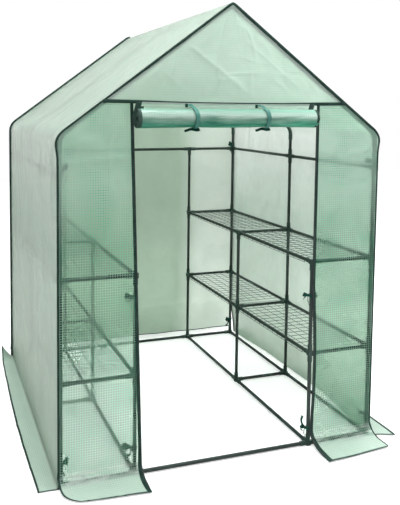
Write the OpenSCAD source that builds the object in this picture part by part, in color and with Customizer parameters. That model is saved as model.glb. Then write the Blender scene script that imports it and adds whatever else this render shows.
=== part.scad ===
// Walk-in greenhouse: plug-together tube frame, wire shelves and a fitted film cover
// with a rolled-up door. X runs across the front, Y runs from the front to the back,
// Z is up, and the origin lies on the ground in the middle of the frame.

/* [Frame] */
// Distance between the left and right outer posts, centre to centre
frame_w = 1414; // [1200:2:2000]
// Distance between the front and back posts, centre to centre
frame_d = 1414; // [1200:2:2400]
// Height of the point where the post and rafter centre lines meet
eave_z = 1379; // [1360:1:1700]
// Height of the ridge bars' centre line
ridge_z = 1902; // [1800:1:2400]
// Height of the lower shelf rails' centre line
lower_shelf_z = 417; // [250:1:600]
// Height of the upper shelf rails' centre line
upper_shelf_z = 824; // [700:1:1000]
// Height of the top rails' centre line
top_rail_z = 1231; // [1100:1:1240]

/* [Tubes and connectors] */
// Outer diameter of the steel tubes
tube_d = 16; // [12:0.5:22]
// Wall of the plastic sockets
socket_wall = 2.1; // [1.5:0.1:4]
// Reach of a socket from the centre of its connector
socket_reach = 38; // [28:1:50]
// Radial clearance of a tube in its socket
tube_fit = 0.1; // [0.05:0.01:0.3]
// Radius of the bend in the eave elbows, at the centre line
elbow_r = 60; // [40:1:90]

/* [Wire shelves] */
// Thickness of the shelf wires
wire_d = 2.4; // [1.5:0.1:4]
// Spacing of the wires that run from front to back
long_wire_pitch = 45; // [30:1:60]
// Spacing of the wires that run across a shelf
cross_wire_pitch = 44; // [30:1:60]
// Depth of the folded edges that hook over the rails
shelf_hook_h = 20; // [14:1:35]
// Free length between a shelf panel and the sockets at its ends
shelf_end_gap = 4; // [2:1:12]

/* [Cover] */
// Thickness of the film as modelled
cover_t = 1.5; // [1:0.1:3]
// Clearance between the film and the connectors
cover_gap = 0.4; // [0.3:0.1:2]
// Reach of the ground flaps beyond the film walls
flap_reach = 120; // [80:1:250]
// Height at which the right and back walls start to lean out
flare_z = 230; // [120:1:300]
// Distance that the right wall leans out at the ground
right_flare = 52; // [20:1:70]

/* [Doorway] */
// Half the clear width between the two front panels
door_half_w = 400; // [340:1:440]
// Distance from the edge of the doorway to the centre of the shelf posts
door_post_gap = 3; // [2:0.5:12]
// Height of the tape across the top of the doorway
header_z = 1510; // [1480:1:1600]
// Width of the tape across the top of the doorway
header_w = 12; // [8:1:25]
// Width of the zip tapes beside the doorway
zip_w = 14; // [12:1:40]
// Thickness of the tapes and ribbons
tape_t = 1.8; // [1:0.1:3]
// Radius of the rolled-up door
roll_r = 40; // [30:1:45]
// Drop from the header tape to the centre of the roll
roll_drop = 57; // [50:1:80]
// Reach of each end of the roll past the edge of the front panel
roll_overlap = -3; // [-10:1:8]
// Width of the ribbons that hold the roll
strap_w = 22; // [12:1:35]
// Distance from the middle of the roll to each ribbon
strap_x = 155; // [100:1:260]
// How far the roll and its ribbons sit to the right of the doorway's middle, or to the left if negative
roll_shift = -28; // [-40:1:40]

/* [Trim] */
// Width of the binding along the front and back edges of the film
binding_w = 12; // [6:1:25]
// Thickness of the binding
binding_t = 1.2; // [0.8:0.1:2.5]
// Width of the ribbons that tie the cover to the posts
tie_w = 14; // [8:1:20]
// Length of the loose ends of a tie
tie_tail = 26; // [10:1:40]
// Height of the low ties
low_tie_z = 100; // [70:1:200]
// Height of the ties halfway up the shelf posts at the doorway
door_tie_z = 690; // [500:1:760]

/* [Hidden] */
$fn = 48;

tube_color = [0.10, 0.16, 0.14];
connector_color = [0.13, 0.22, 0.19];
wire_color = [0.16, 0.24, 0.21];
film_color = [0.66, 0.84, 0.72];
tape_color = [0.20, 0.32, 0.29];
ribbon_color = [0.16, 0.45, 0.37];

// How far fused shapes run into each other, and how far free ones stay apart
overlap = 0.5;
running_gap = 0.3;
hub_edge = 0.4;
ridge_stop = 3;
core_step = 1.2;
strip_lap = 0.8;
strip_margin = 3;
link_share = 0.45;
tail_w = 4;
tail_t = 1;
tube_r = tube_d / 2;
bore_r = tube_r + tube_fit;
socket_r = bore_r + socket_wall;
hub_r = socket_r + hub_edge;
base_z = hub_r;
post_x = frame_w / 2;
post_y = frame_d / 2;
shelf_post_x = door_half_w + door_post_gap;
shelf_levels = [lower_shelf_z, upper_shelf_z];

// Roof slope above the horizontal, and the eave bend that joins post and rafter
slope = atan2(ridge_z - eave_z, post_x);
eave_turn = 90 - slope;
eave_tangent = elbow_r * tan(eave_turn / 2);
bend_x = post_x - elbow_r;
bend_z = eave_z - eave_tangent;
rafter_l = norm([post_x, ridge_z - eave_z]);
elbow_bend_r = socket_r - overlap;
ridge_seat = hub_r + ridge_stop;

// Offsets of the film's two faces from the tube centre lines
film_in = hub_r + cover_gap;
film_out = film_in + cover_t;
film_x = post_x + film_out;
film_y = post_y + film_out;
wall_y = post_y + film_in;
flap_out = film_out + flap_reach;

roll_y = -(film_y + tape_t + running_gap + roll_r);
roll_z = header_z - roll_drop;
roll_half_l = door_half_w + roll_overlap;
header_low = header_z - header_w / 2;

// The strip of door film above the roll, which meets it a third of its radius below the axis
strip_half = door_half_w - zip_w / 2 - strip_margin;
strip_y = roll_y + roll_r - strip_lap;
strip_low = roll_z - roll_r / 3;
top_tie_z = (top_rail_z + bend_z) / 2;

function sign_of(v) = v > 0 ? 1 : -1;

// Rotation that turns +Z to a direction along one of the axes
function turn_to(d) =
    d.z != 0 ? [d.z > 0 ? 0 : 180, 0, 0]
    : d.x != 0 ? [0, 90 * sign_of(d.x), 0]
    : [-90 * sign_of(d.y), 0, 0];

// Half width of the roof at a height, for a face that lies off the rafters' centre line
function roof_x(z, off) = (ridge_z + off / cos(slope) - z) / tan(slope);

// ---- Frame ----

// A tube between two connectors, seated on their hubs
module tube(a, b) {
    d = (b - a) / norm(b - a);
    translate(a + d * hub_r)
        rotate(turn_to(d))
            cylinder(r = tube_r, h = norm(b - a) - 2 * hub_r);
}

// A stack of tubes through a list of heights
module post(x, y, levels) {
    for (i = [0 : len(levels) - 2]) {
        tube([x, y, levels[i]], [x, y, levels[i + 1]]);
    }
}

// The short tube from the top rail up into an eave elbow
module post_top(x, y) {
    translate([x, y, top_rail_z + hub_r])
        cylinder(r = tube_r, h = bend_z - top_rail_z - hub_r);
}

module outer_post(x, y) {
    post(x, y, concat([base_z], shelf_levels, [top_rail_z]));
    post_top(x, y);
}

// A hub with a socket along each listed direction
module connector(dirs) {
    difference() {
        union() {
            cube(2 * hub_r, center = true);
            for (d = dirs) {
                rotate(turn_to(d))
                    translate([0, 0, hub_r - overlap])
                        cylinder(r = socket_r, h = socket_reach - hub_r + overlap);
            }
        }
        for (d = dirs) {
            rotate(turn_to(d))
                translate([0, 0, hub_r])
                    cylinder(r = bore_r, h = socket_reach);
        }
    }
}

// The directions along Y that a connector at this place needs
function depth_dirs(y) = y < 0 ? [[0, 1, 0]] : y > 0 ? [[0, -1, 0]] : [[0, 1, 0], [0, -1, 0]];

module corner_posts() {
    color(tube_color)
        for (x = [-post_x, post_x], y = [-post_y, post_y]) {
            outer_post(x, y);
        }
}

module side_posts() {
    color(tube_color)
        for (x = [-post_x, post_x]) {
            outer_post(x, 0);
        }
}

module shelf_posts() {
    color(tube_color)
        for (x = [-shelf_post_x, shelf_post_x]) {
            post(x, -post_y, concat([base_z], shelf_levels));
            post(x, 0, concat([base_z], shelf_levels));
            post(x, post_y, concat([base_z], shelf_levels, [top_rail_z]));
        }
}

// Rails along the two long sides of both shelf racks, at one height
module rack_long_rails(z) {
    for (x = [-post_x, -shelf_post_x, shelf_post_x, post_x], y = [-post_y, 0]) {
        tube([x, y, z], [x, y + post_y, z]);
    }
}

// Short rails across both shelf racks, at one height
module rack_cross_rails(z, rows) {
    for (s = [-1, 1], y = rows) {
        tube([s * shelf_post_x, y, z], [s * post_x, y, z]);
    }
}

module base_rails() {
    color(tube_color) {
        rack_long_rails(base_z);
        rack_cross_rails(base_z, [-post_y, 0, post_y]);
        for (y = [-post_y, post_y]) {
            tube([-shelf_post_x, y, base_z], [shelf_post_x, y, base_z]);
        }
    }
}

module shelf_rails(z) {
    color(tube_color) {
        rack_long_rails(z);
        rack_cross_rails(z, [-post_y, 0, post_y]);
    }
}

module lower_shelf_rails() {
    shelf_rails(lower_shelf_z);
}

module upper_shelf_rails() {
    shelf_rails(upper_shelf_z);
}

module top_rails() {
    color(tube_color) {
        for (x = [-post_x, post_x], y = [-post_y, 0]) {
            tube([x, y, top_rail_z], [x, y + post_y, top_rail_z]);
        }
        rack_cross_rails(top_rail_z, [post_y]);
        tube([-shelf_post_x, post_y, top_rail_z], [shelf_post_x, post_y, top_rail_z]);
    }
}

// Places what follows on the right rafter's centre line, +Z up the slope
module on_rafter(y, along) {
    translate([post_x, y, eave_z])
        rotate([0, -eave_turn, 0])
            translate([0, 0, along])
                children();
}

module both_sides() {
    children();
    mirror([1, 0, 0])
        children();
}

module rafters() {
    color(tube_color)
        both_sides()
            for (y = [-post_y, 0, post_y]) {
                on_rafter(y, eave_tangent)
                    cylinder(r = tube_r, h = rafter_l - eave_tangent - ridge_seat);
            }
}

module ridge_bars() {
    color(tube_color)
        for (y = [-post_y, 0]) {
            tube([0, y, ridge_z], [0, y + post_y, ridge_z]);
        }
}

module base_connectors() {
    color(connector_color)
        for (s = [-1, 1], y = [-post_y, 0, post_y]) {
            out = [s, 0, 0];
            inward = y == 0 ? [] : [[-s, 0, 0]];
            translate([s * post_x, y, base_z])
                connector(concat(depth_dirs(y), [-out, [0, 0, 1]]));
            translate([s * shelf_post_x, y, base_z])
                connector(concat(depth_dirs(y), inward, [out, [0, 0, 1]]));
        }
}

module lower_shelf_connectors() {
    color(connector_color)
        for (s = [-1, 1], y = [-post_y, 0, post_y]) {
            upright = [[0, 0, 1], [0, 0, -1]];
            translate([s * post_x, y, lower_shelf_z])
                connector(concat(depth_dirs(y), upright, [[-s, 0, 0]]));
            translate([s * shelf_post_x, y, lower_shelf_z])
                connector(concat(depth_dirs(y), upright, [[s, 0, 0]]));
        }
}

module upper_shelf_connectors() {
    color(connector_color)
        for (s = [-1, 1], y = [-post_y, 0, post_y]) {
            upright = [[0, 0, 1], [0, 0, -1]];
            inner_upright = y > 0 ? upright : [[0, 0, -1]];
            translate([s * post_x, y, upper_shelf_z])
                connector(concat(depth_dirs(y), upright, [[-s, 0, 0]]));
            translate([s * shelf_post_x, y, upper_shelf_z])
                connector(concat(depth_dirs(y), inner_upright, [[s, 0, 0]]));
        }
}

module top_rail_connectors() {
    color(connector_color)
        for (s = [-1, 1]) {
            for (y = [-post_y, 0, post_y]) {
                upright = [[0, 0, 1], [0, 0, -1]];
                across = y > 0 ? [[-s, 0, 0]] : [];
                translate([s * post_x, y, top_rail_z])
                    connector(concat(depth_dirs(y), upright, across));
            }
            translate([s * shelf_post_x, post_y, top_rail_z])
                connector([[0, 0, -1], [1, 0, 0], [-1, 0, 0]]);
        }
}

module eave_elbow(y) {
    reach = socket_reach - hub_r;
    difference() {
        union() {
            translate([post_x, y, bend_z - reach])
                cylinder(r = socket_r, h = reach + overlap);
            translate([bend_x, y, bend_z])
                rotate([90, 0, 0])
                    rotate_extrude(angle = eave_turn)
                        translate([elbow_r, 0])
                            circle(r = elbow_bend_r);
            on_rafter(y, eave_tangent - overlap)
                cylinder(r = socket_r, h = reach + overlap);
        }
        translate([post_x, y, bend_z - socket_reach])
            cylinder(r = bore_r, h = socket_reach);
        on_rafter(y, eave_tangent)
            cylinder(r = bore_r, h = socket_reach);
    }
}

module eave_elbows() {
    color(connector_color)
        both_sides()
            for (y = [-post_y, 0, post_y]) {
                eave_elbow(y);
            }
}

// The rafter half of a ridge connector, cut on the middle plane
module ridge_half(y) {
    intersection() {
        on_rafter(y, rafter_l - socket_reach)
            cylinder(r = socket_r, h = 2 * socket_reach);
        translate([0, y - socket_reach, ridge_z - 2 * socket_reach])
            cube([2 * socket_reach, 2 * socket_reach, 4 * socket_reach]);
    }
}

module ridge_connector(y) {
    core_r = socket_r - core_step;
    difference() {
        union() {
            both_sides()
                ridge_half(y);
            translate([0, y, ridge_z])
                rotate([90, 0, 0])
                    cylinder(r = core_r, h = 2 * hub_r, center = true);
            for (d = depth_dirs(y)) {
                translate([0, y, ridge_z])
                    rotate(turn_to(d))
                        translate([0, 0, hub_r - overlap])
                            cylinder(r = socket_r, h = socket_reach - hub_r + overlap);
            }
        }
        both_sides()
            on_rafter(y, rafter_l - 2 * socket_reach)
                cylinder(r = bore_r, h = 2 * socket_reach - ridge_seat);
        for (d = depth_dirs(y)) {
            translate([0, y, ridge_z])
                rotate(turn_to(d))
                    translate([0, 0, hub_r])
                        cylinder(r = bore_r, h = socket_reach);
        }
    }
}

module ridge_connectors() {
    color(connector_color)
        for (y = [-post_y, 0, post_y]) {
            ridge_connector(y);
        }
}

// ---- Wire shelves ----

shelf_mid_x = (post_x + shelf_post_x) / 2;
shelf_l = post_y - 2 * (socket_reach + shelf_end_gap);
hook_x = (post_x - shelf_post_x) / 2 + tube_r + running_gap + wire_d / 2;
long_wires = floor((post_x - shelf_post_x - tube_d) / long_wire_pitch) + 1;
cross_wires = floor((shelf_l - wire_d) / cross_wire_pitch) + 1;

// One welded panel, its middle at the origin and its wires in the plane z = 0
module shelf_panel() {
    for (i = [0 : long_wires - 1]) {
        translate([(i - (long_wires - 1) / 2) * long_wire_pitch, 0, 0])
            cube([wire_d, shelf_l, wire_d], center = true);
    }
    for (i = [0 : cross_wires - 1]) {
        translate([0, (i - (cross_wires - 1) / 2) * cross_wire_pitch, 0]) {
            cube([2 * hook_x + wire_d, wire_d, wire_d], center = true);
            for (s = [-1, 1]) {
                translate([s * hook_x, 0, -shelf_hook_h / 2])
                    cube([wire_d, wire_d, shelf_hook_h + wire_d], center = true);
            }
        }
    }
    for (s = [-1, 1]) {
        translate([s * hook_x, 0, -shelf_hook_h])
            cube([wire_d, shelf_l, wire_d], center = true);
    }
}

// The front and back panels of one rack at one height
module shelf_pair(s, z) {
    color(wire_color)
        for (y = [-post_y / 2, post_y / 2]) {
            translate([s * shelf_mid_x, y, z + tube_r + running_gap + wire_d / 2])
                shelf_panel();
        }
}

module lower_left_shelves() {
    shelf_pair(-1, lower_shelf_z);
}

module lower_right_shelves() {
    shelf_pair(1, lower_shelf_z);
}

module upper_left_shelves() {
    shelf_pair(-1, upper_shelf_z);
}

module upper_right_shelves() {
    shelf_pair(1, upper_shelf_z);
}

// ---- Cover ----

// Stands an XZ drawing up and gives it a thickness towards the back, from y = 0
module upright(t) {
    translate([0, t, 0])
        rotate([90, 0, 0])
            linear_extrude(height = t)
                children();
}

// The greenhouse's outline from the front, its faces off the tube centre lines by off
module outline(off) {
    side = post_x + off;
    bend = elbow_r + off;
    shoulder = [bend_x + bend * sin(slope), bend_z + bend * cos(slope)];
    peak = ridge_z + off / cos(slope);
    polygon([
        [-side, 0], [side, 0], [side, bend_z], shoulder, [0, peak],
        [-shoulder.x, shoulder.y], [-side, bend_z]
    ]);
    for (s = [-1, 1]) {
        translate([s * bend_x, bend_z])
            circle(r = bend);
    }
}

module side_wall(low) {
    translate([post_x + film_in, -wall_y, low])
        cube([cover_t, 2 * wall_y, bend_z - low]);
}

module eave_band() {
    far = 3 * elbow_r;
    translate([0, -wall_y, 0])
        upright(2 * wall_y)
            intersection() {
                translate([bend_x, bend_z])
                    difference() {
                        circle(r = elbow_r + film_out);
                        circle(r = elbow_r + film_in);
                    }
                translate([bend_x, bend_z])
                    polygon([[0, 0], [far, 0], [far, far], [far * sin(slope), far * cos(slope)]]);
            }
}

module roof_slope() {
    in_bend = elbow_r + film_in;
    out_bend = elbow_r + film_out;
    translate([0, -wall_y, 0])
        upright(2 * wall_y)
            polygon([
                [bend_x + in_bend * sin(slope), bend_z + in_bend * cos(slope)],
                [bend_x + out_bend * sin(slope), bend_z + out_bend * cos(slope)],
                [0, ridge_z + film_out / cos(slope)],
                [0, ridge_z + film_in / cos(slope)]
            ]);
}

module left_wall_cover() {
    color(film_color)
        mirror([1, 0, 0])
            side_wall(0);
}

module right_wall_cover() {
    color(film_color)
        side_wall(flare_z);
}

module left_eave_cover() {
    color(film_color)
        mirror([1, 0, 0])
            eave_band();
}

module right_eave_cover() {
    color(film_color)
        eave_band();
}

module left_roof_cover() {
    color(film_color)
        mirror([1, 0, 0])
            roof_slope();
}

module right_roof_cover() {
    color(film_color)
        roof_slope();
}

module back_wall_cover() {
    color(film_color)
        translate([0, wall_y, 0])
            upright(cover_t)
                intersection() {
                    outline(film_out);
                    translate([-frame_w, flare_z])
                        square([2 * frame_w, 2 * ridge_z]);
                }
}

module front_gable_cover() {
    half = roof_x(header_z, film_out);
    color(film_color)
        translate([0, -film_y, 0])
            upright(cover_t)
                polygon([[-half, header_z], [half, header_z], [0, ridge_z + film_out / cos(slope)]]);
}

// The panel between a corner post and the doorway, drawn on the right
module front_panel() {
    translate([0, -film_y, 0])
        upright(cover_t)
            intersection() {
                outline(film_out);
                translate([door_half_w, 0])
                    square([frame_w, header_z]);
            }
}

module front_left_panel() {
    color(film_color)
        mirror([1, 0, 0])
            front_panel();
}

module front_right_panel() {
    color(film_color)
        front_panel();
}

module left_ground_flap() {
    color(film_color)
        translate([-post_x - flap_out, -wall_y, 0])
            cube([flap_reach, 2 * wall_y, cover_t]);
}

// The lower part of the right wall leans out and turns into its flap on the ground
module right_ground_flap() {
    wall_in = post_x + film_in;
    fold = wall_in + right_flare;
    color(film_color)
        translate([0, -wall_y, 0])
            upright(2 * wall_y)
                polygon([
                    [wall_in, flare_z], [fold, 0], [post_x + flap_out, 0],
                    [post_x + flap_out, cover_t], [fold + cover_t, cover_t], [wall_in + cover_t, flare_z]
                ]);
}

// The lower part of the back wall leans out all the way to the ground
module back_ground_flap() {
    foot = 1.2 * cover_t;
    color(film_color)
        rotate([90, 0, 90])
            translate([0, 0, -post_x - film_in])
                linear_extrude(height = 2 * (post_x + film_in))
                    polygon([
                        [wall_y, flare_z], [post_y + flap_out - foot, 0],
                        [post_y + flap_out, 0], [film_y, flare_z]
                    ]);
}

module front_flap(inner_x) {
    translate([inner_x, -post_y - flap_out, 0])
        cube([film_x - inner_x, flap_reach, cover_t]);
}

module front_left_flap() {
    color(film_color)
        mirror([1, 0, 0])
            front_flap(door_half_w - zip_w / 2);
}

module front_right_flap() {
    color(film_color)
        front_flap(door_half_w - zip_w / 2);
}

// ---- Doorway ----

// The roll, and the strip of door film that hangs to it from the header tape
module rolled_door() {
    color(film_color)
        union() {
            translate([roll_shift - roll_half_l, roll_y, roll_z])
                rotate([0, 90, 0])
                    cylinder(r = roll_r, h = 2 * roll_half_l);
            translate([-strip_half, strip_y, strip_low])
                cube([2 * strip_half, -wall_y - strip_y, header_low - strip_low]);
            translate([-strip_half, -film_y, strip_low])
                cube([2 * strip_half, cover_t, header_z - strip_low]);
        }
}

// A ribbon in front of the door film: down from the header tape and round the roll
module roll_strap(x) {
    ring_in = roll_r + running_gap;
    ribbon_back = strip_y - running_gap;
    link_low = roll_z + link_share * roll_r;
    translate([x - strap_w / 2, 0, 0])
        rotate([90, 0, 90])
            linear_extrude(height = strap_w)
                union() {
                    difference() {
                        translate([roll_y, roll_z])
                            circle(r = ring_in + tape_t);
                        translate([roll_y, roll_z])
                            circle(r = ring_in);
                        translate([ribbon_back, roll_z - 2 * roll_r])
                            square([2 * roll_r, 4 * roll_r]);
                    }
                    translate([ribbon_back - tape_t, link_low])
                        square([tape_t, header_low + header_w - link_low]);
                    translate([ribbon_back - overlap, header_low + running_gap])
                        square([overlap - film_y - tape_t - ribbon_back, header_w - running_gap]);
                }
}

module door_roll_straps() {
    color(ribbon_color)
        for (x = [-strap_x, strap_x]) {
            roll_strap(x + roll_shift);
        }
}

module door_header_tape() {
    color(tape_color)
        translate([0, -film_y - tape_t, 0])
            upright(tape_t)
                intersection() {
                    outline(film_out);
                    translate([-frame_w, header_low])
                        square([2 * frame_w, header_w]);
                }
}

module zip_tape() {
    translate([door_half_w - zip_w / 2, -film_y - tape_t, cover_t])
        cube([zip_w, tape_t, header_low - cover_t]);
}

module left_door_tape() {
    color(tape_color)
        mirror([1, 0, 0])
            zip_tape();
}

module right_door_tape() {
    color(tape_color)
        zip_tape();
}

// ---- Trim ----

// A band along the outside of the film's outline, above a height
module edge_binding(low) {
    upright(binding_w)
        intersection() {
            difference() {
                outline(film_out + binding_t);
                outline(film_out);
            }
            translate([-frame_w, low])
                square([2 * frame_w, 2 * ridge_z]);
        }
}

module front_edge_binding() {
    color(tape_color)
        translate([0, -film_y, 0])
            edge_binding(flare_z);
}

module back_edge_binding() {
    color(tape_color)
        translate([0, film_y - binding_w, 0])
            edge_binding(flare_z);
}

// A ribbon round a post with two loose ends towards the side given
module tie(x, y, z, side) {
    ring_in = tube_r + running_gap;
    tail_x = side > 0 ? ring_in + overlap : -ring_in - overlap - tie_tail;
    translate([x, y, z]) {
        difference() {
            cylinder(r = ring_in + tail_t, h = tie_w, center = true);
            cylinder(r = ring_in, h = 2 * tie_w, center = true);
        }
        for (dz = [-tie_w / 4, tie_w / 4]) {
            translate([tail_x, -tail_t / 2, dz - tail_w / 2])
                cube([tie_tail, tail_t, tail_w]);
        }
    }
}

module cover_ties() {
    color(ribbon_color)
        for (s = [-1, 1]) {
            for (y = [-post_y, post_y], z = [low_tie_z, top_tie_z]) {
                tie(s * post_x, y, z, -s);
            }
            for (z = [low_tie_z, door_tie_z]) {
                tie(s * shelf_post_x, -post_y, z, s);
            }
        }
}

corner_posts();
side_posts();
shelf_posts();
base_rails();
lower_shelf_rails();
upper_shelf_rails();
top_rails();
rafters();
ridge_bars();
base_connectors();
lower_shelf_connectors();
upper_shelf_connectors();
top_rail_connectors();
eave_elbows();
ridge_connectors();
lower_left_shelves();
lower_right_shelves();
upper_left_shelves();
upper_right_shelves();
left_wall_cover();
right_wall_cover();
back_wall_cover();
left_eave_cover();
right_eave_cover();
left_roof_cover();
right_roof_cover();
front_gable_cover();
front_left_panel();
front_right_panel();
left_ground_flap();
right_ground_flap();
back_ground_flap();
front_left_flap();
front_right_flap();
rolled_door();
door_roll_straps();
door_header_tape();
left_door_tape();
right_door_tape();
front_edge_binding();
back_edge_binding();
cover_ties();
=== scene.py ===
import math
import bpy
import numpy as np
from mathutils import Matrix, Vector


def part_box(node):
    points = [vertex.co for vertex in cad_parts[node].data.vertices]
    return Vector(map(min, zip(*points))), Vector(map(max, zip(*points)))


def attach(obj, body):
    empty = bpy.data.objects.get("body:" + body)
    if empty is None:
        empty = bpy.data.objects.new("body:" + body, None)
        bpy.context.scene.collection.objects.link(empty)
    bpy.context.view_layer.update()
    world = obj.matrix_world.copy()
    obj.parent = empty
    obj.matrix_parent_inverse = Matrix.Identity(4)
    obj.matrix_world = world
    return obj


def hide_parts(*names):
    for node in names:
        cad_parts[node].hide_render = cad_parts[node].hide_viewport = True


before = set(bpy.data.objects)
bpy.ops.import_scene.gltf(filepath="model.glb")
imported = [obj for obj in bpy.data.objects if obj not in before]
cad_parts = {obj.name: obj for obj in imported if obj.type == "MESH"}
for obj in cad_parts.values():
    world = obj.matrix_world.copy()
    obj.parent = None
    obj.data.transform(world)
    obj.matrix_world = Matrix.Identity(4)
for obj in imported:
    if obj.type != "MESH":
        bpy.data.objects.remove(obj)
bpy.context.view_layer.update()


# ---- Sizes, in metres, worked out from the frame ----

TUBE_R = 0.008
FILM_OFF = 0.0117
FILM_T = 0.0009

POST_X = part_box("corner_posts")[1].x - TUBE_R
POST_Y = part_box("corner_posts")[1].y - TUBE_R
DOOR_POST_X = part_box("shelf_posts")[1].x - TUBE_R
BASE_Z, LOWER_Z, UPPER_Z, TOP_Z, RIDGE_Z = (
    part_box(name)[1].z - TUBE_R
    for name in ("base_rails", "lower_shelf_rails", "upper_shelf_rails", "top_rails", "ridge_bars")
)
# The eave's corner, and the bend of the elbow in it
EAVE_Z = 1.379
ELBOW_R = 0.060
SLOPE = math.atan2(RIDGE_Z - EAVE_Z, POST_X)
EAVE_TURN = math.pi / 2 - SLOPE
BEND_X = POST_X - ELBOW_R
BEND_Z = EAVE_Z - ELBOW_R * math.tan(EAVE_TURN / 2)
FRONT_Y = -POST_Y - FILM_OFF
BACK_Y = POST_Y + FILM_OFF
SIDE_X = POST_X + FILM_OFF

ROLL_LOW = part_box("rolled_door")[0]
ROLL_R = 0.040
# How far the roll hangs down at its ends
ROLL_SAG = 0.004
ROLL_Y = ROLL_LOW.y + ROLL_R
ROLL_Z = ROLL_LOW.z + ROLL_R - ROLL_SAG
STRAPS_LOW, STRAPS_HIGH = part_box("door_roll_straps")
# How far a strap reaches to the side of its own middle
STRAP_REACH = 0.011
STRAP_X = (STRAPS_HIGH.x - STRAPS_LOW.x) / 2 - STRAP_REACH
ROLL_MID = (STRAPS_LOW.x + STRAPS_HIGH.x) / 2
ROLL_HALF = ROLL_MID - ROLL_LOW.x
HEADER_LOW, HEADER_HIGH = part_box("door_header_tape")
HEADER_Z = (HEADER_LOW.z + HEADER_HIGH.z) / 2
HEADER_W = HEADER_HIGH.z - HEADER_LOW.z
ZIP_LOW, ZIP_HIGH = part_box("right_door_tape")
ZIP_X = (ZIP_LOW.x + ZIP_HIGH.x) / 2
ZIP_W = 0.013
SKIRT_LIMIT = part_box("right_ground_flap")[1].x


# ---- Making meshes ----


def pick(*pieces):
    """Selects these pieces and nothing else, with the first one active."""
    bpy.ops.object.select_all(action="DESELECT")
    for piece in pieces:
        piece.select_set(True)
    if pieces:
        bpy.context.view_layer.objects.active = pieces[0]


def soft_noise(a, b, size, seed):
    """Smooth noise from -1 to 1 over a flat sheet, with bumps about as wide as size."""
    table = np.random.default_rng(seed).uniform(-1, 1, (64, 64))
    x, y = a / size, b / size
    i, j = np.floor(x).astype(int), np.floor(y).astype(int)
    s, t = x - i, y - j
    s, t = s * s * (3 - 2 * s), t * t * (3 - 2 * t)
    low = table[i % 64, j % 64] * (1 - s) + table[(i + 1) % 64, j % 64] * s
    high = table[i % 64, (j + 1) % 64] * (1 - s) + table[(i + 1) % 64, (j + 1) % 64] * s
    return low * (1 - t) + high * t


def crease(a, b, size, seed):
    """Sharp ridges from 0 to 1 where the noise changes sign."""
    return np.clip(1 - 4 * np.abs(soft_noise(a, b, size, seed)), 0, 1) ** 1.5


def fold_line(a, b, start, end, wide):
    """A sharp fold between two places on a sheet: 1 along it, and 0 away from it and past its ends."""
    way = (end[0] - start[0], end[1] - start[1])
    length = math.hypot(*way)
    along = ((a - start[0]) * way[0] + (b - start[1]) * way[1]) / length
    aside = ((a - start[0]) * way[1] - (b - start[1]) * way[0]) / length
    ends = ease(along, -0.02, 0.05) * (1 - ease(along, length - 0.05, length + 0.02))
    return np.exp(-np.abs(aside) / wide) * ends


def turned(a, b, degrees):
    """The two flat coordinates turned, so that noise can run slanting across a sheet."""
    c, s = math.cos(math.radians(degrees)), math.sin(math.radians(degrees))
    return a * c + b * s, b * c - a * s


def ease(x, low, high):
    """0 below low, 1 above high, and smooth between."""
    t = np.clip((np.asarray(x, float) - low) / (high - low), 0, 1)
    return t * t * (3 - 2 * t)


def off_lines(x, lines, clear=0.012, free=0.09):
    """0 on the tubes that hold a sheet and 1 well away from them."""
    nearest = np.min([np.abs(x - line) for line in lines], axis=0)
    return ease(nearest, clear, free)


def columns(*values):
    return np.stack(values, axis=1)


def unit(vectors):
    return vectors / np.linalg.norm(vectors, axis=-1, keepdims=True)


def run_along(path):
    """The distance along a path at each of its points."""
    steps = np.linalg.norm(np.diff(path, axis=0), axis=1)
    return np.concatenate([[0.0], np.cumsum(steps)])


def read_at(at, run, values):
    """What values, known at each run along a path, come to at other places along it."""
    return columns(*(np.interp(at, run, column) for column in values.T))


def apply_modifiers(piece):
    pick(piece)
    for modifier in list(piece.modifiers):
        bpy.ops.object.modifier_apply(modifier=modifier.name)


def finish_piece(piece, slot, material, *nodes):
    """Gives a finished piece its material, its body and the nodes that it stands for; slot is not used."""
    piece.data.materials.clear()
    piece.data.materials.append(material)
    piece.pop("run", None)
    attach(piece, "root")
    if nodes:
        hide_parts(*nodes)
    return piece


def sheet(name, across, along, place, thickness):
    """A grid laid by place(u, v), which gives points and their flat places, thickened and closed."""
    pick()
    bpy.ops.mesh.primitive_grid_add(x_subdivisions=across, y_subdivisions=along, size=1, calc_uvs=True)
    piece = bpy.context.object
    piece.name = piece.data.name = name
    mesh = piece.data
    co = np.empty(len(mesh.vertices) * 3)
    mesh.vertices.foreach_get("co", co)
    co = co.reshape(-1, 3)
    points, flat = place(co[:, 0] + 0.5, co[:, 1] + 0.5)
    mesh.vertices.foreach_set("co", points.ravel())
    corners = np.empty(len(mesh.loops), int)
    mesh.loops.foreach_get("vertex_index", corners)
    mesh.uv_layers[0].data.foreach_set("uv", flat[corners].ravel())
    mesh.update()
    solid = piece.modifiers.new("thickness", "SOLIDIFY")
    solid.thickness = thickness
    solid.offset = 0
    solid.use_even_offset = True
    apply_modifiers(piece)
    bpy.ops.object.shade_smooth()
    return piece


def laid_on(surface, u_of, v_of):
    """How to place a tape on a sheet: u_of and v_of say where on the sheet each of its points lies."""
    return lambda u, v: surface(u_of(u, v), v_of(u, v))


def ribbon(name, path, facing, width, thickness, rows=None, across=2):
    """A flat tape whose middle follows a path, with its face turned to facing all along."""
    path = np.asarray(path, float)
    facing = np.broadcast_to(np.asarray(facing, float), path.shape)
    run = run_along(path)
    sideways = unit(np.cross(np.gradient(path, axis=0), facing))

    def place(u, v):
        at = v * run[-1]
        wide = width(v) if callable(width) else width
        aside = (u - 0.5) * wide
        points = read_at(at, run, path) + aside[:, None] * unit(read_at(at, run, sideways))
        return points, columns(aside, at)

    piece = sheet(name, across, rows or len(path) - 1, place, thickness)
    piece["run"] = float(run[-1])
    return piece


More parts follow.
